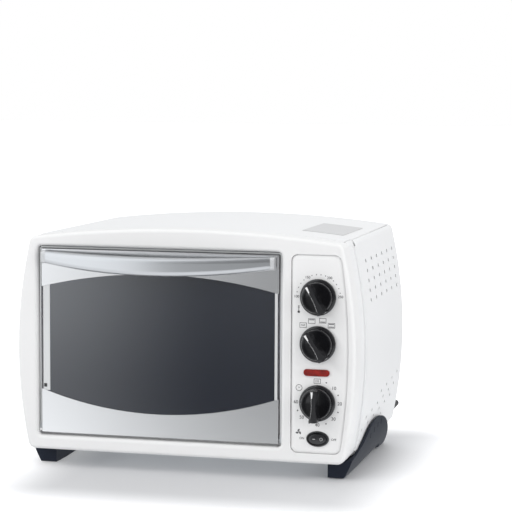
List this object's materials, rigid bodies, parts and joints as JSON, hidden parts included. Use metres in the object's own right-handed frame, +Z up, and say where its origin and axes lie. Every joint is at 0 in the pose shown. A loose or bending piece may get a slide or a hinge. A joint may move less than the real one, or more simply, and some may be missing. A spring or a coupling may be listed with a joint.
{
  "type": "convection toaster oven",
  "caption": "Countertop convection toaster oven with a drop-down glass door, a bowed front frame, three dial knobs, a pilot lamp, a fan switch and moulded side legs.",
  "frame": {"origin": "on the surface the oven stands on, under the middle of its bounding box", "axes": "+X to the oven's right seen from its front, +Y from the door to the back plate, +Z up"},
  "size_m": [0.4172, 0.379, 0.291],
  "materials": {
    "white_moulding": "semi-gloss moulded",
    "panel_white": "satin moulded",
    "white_enamel": "satin powder coat",
    "zinc_sheet": "galvanised",
    "leg_grey": "satin moulded",
    "pad_rubber": "matte",
    "screw_steel": "zinc plated",
    "liner_steel": "aluminised",
    "heater_steel": "heat darkened",
    "bush_ceramic": "matte",
    "fan_alloy": "mill",
    "motor_can": "satin",
    "door_silver": "fine satin",
    "clear_glass": "polished",
    "smoked_glass": "smoked",
    "handle_silver": "metallic satin",
    "cap_grey": "satin",
    "bright_wire": "bright",
    "black_enamel": "gloss enamel",
    "knob_black": "gloss",
    "marker_white": "satin",
    "shaft_steel": "ground",
    "switch_grey": "moulded",
    "lens_red": "translucent",
    "lamp_glass": "clear",
    "switch_black": "gloss",
    "gland_black": "moulded"
  },
  "bodies": {
    "oven_body": {"front_bezel": "white_moulding", "control_panel": "panel_white", "top_cover": "white_enamel", "side_bands": "white_enamel", "side_panel_left": "white_enamel", "side_panel_right": "white_enamel", "rear_panel": "white_enamel", "base_plate": "zinc_sheet", "leg_left": "leg_grey", "leg_right": "leg_grey", "foot_pads": "pad_rubber", "rear_bumpers": "gland_black", "body_screws": "screw_steel", "cavity_liner": "liner_steel", "front_flange": "liner_steel", "shelf_runners": "liner_steel", "cavity_stays": "zinc_sheet", "heating_rods": "heater_steel", "heater_insulators": "bush_ceramic", "fan_guard": "liner_steel", "fan_housing": "liner_steel", "heat_shield": "zinc_sheet", "motor_bracket": "zinc_sheet", "fan_motor": "motor_can", "hinge_brackets": "zinc_sheet", "thermostat": "zinc_sheet", "selector_switch": "switch_grey", "timer_body": "zinc_sheet", "thermostat_bulb": "shaft_steel", "pilot_lens": "lens_red", "pilot_lamp": "lamp_glass", "rocker_bezel": "switch_black", "cord_gland": "gland_black", "terminal_block": "switch_grey", "thermal_fuse": "bush_ceramic"},
    "door": {"door_top_panel": "door_silver", "door_bottom_panel": "door_silver", "door_glass": "clear_glass", "inner_glass": "smoked_glass", "door_handle": "handle_silver", "handle_end_caps": "cap_grey", "handle_standoffs": "cap_grey", "handle_screws": "screw_steel", "hinge_pins": "shaft_steel"},
    "rack": {"wire_rack": "bright_wire", "baking_tray": "black_enamel"},
    "crumb_drawer": {"crumb_tray": "fan_alloy"},
    "temperature_dial": {"temp_knob": "knob_black", "temp_marker": "marker_white", "temp_shaft": "shaft_steel"},
    "mode_dial": {"mode_knob": "knob_black", "mode_marker": "marker_white", "mode_shaft": "shaft_steel"},
    "timer_dial": {"timer_knob": "knob_black", "timer_marker": "marker_white", "timer_shaft": "shaft_steel"},
    "rocker": {"rocker_button": "switch_black"},
    "fan": {"fan_blade": "fan_alloy", "cooling_impeller": "fan_alloy", "fan_shaft": "shaft_steel"}
  },
  "joints": [
    {"name": "door_hinge", "type": "hinge", "parent": "oven_body", "child": "door", "pos_m": [-0.0315, -0.1503, 0.0464], "axis": [1, 0, 0], "range_deg": [0, 90]},
    {"name": "rack_slide", "type": "slide", "parent": "oven_body", "child": "rack", "axis": [0, -1, 0], "range_m": [0, 0.08]},
    {"name": "crumb_tray_slide", "type": "slide", "parent": "oven_body", "child": "crumb_drawer", "axis": [0, 1, 0], "range_m": [0, 0.25]},
    {"name": "temp_knob_turn", "type": "hinge", "parent": "oven_body", "child": "temperature_dial", "pos_m": [0.163, -0.1597, 0.217], "axis": [0, 1, 0], "range_deg": [-92, 118]},
    {"name": "mode_knob_turn", "type": "hinge", "parent": "oven_body", "child": "mode_dial", "pos_m": [0.163, -0.1597, 0.1625], "axis": [0, 1, 0], "range_deg": [0, 75]},
    {"name": "timer_knob_turn", "type": "hinge", "parent": "oven_body", "child": "timer_dial", "pos_m": [0.163, -0.1597, 0.0938], "axis": [0, 1, 0], "range_deg": [0, 270]},
    {"name": "rocker_tilt", "type": "hinge", "parent": "oven_body", "child": "rocker", "pos_m": [0.1632, -0.1587, 0.0516], "axis": [0, 0, 1], "range_deg": [-12, 0]},
    {"name": "fan_spin", "type": "hinge", "parent": "oven_body", "child": "fan", "pos_m": [0.116, 0.0045, 0.165], "axis": [1, 0, 0], "continuous": true}
  ],
  "couplings": [
    {"joint": "rack_slide", "follows": "door_hinge", "m_per_rad": 0.05}
  ]
}
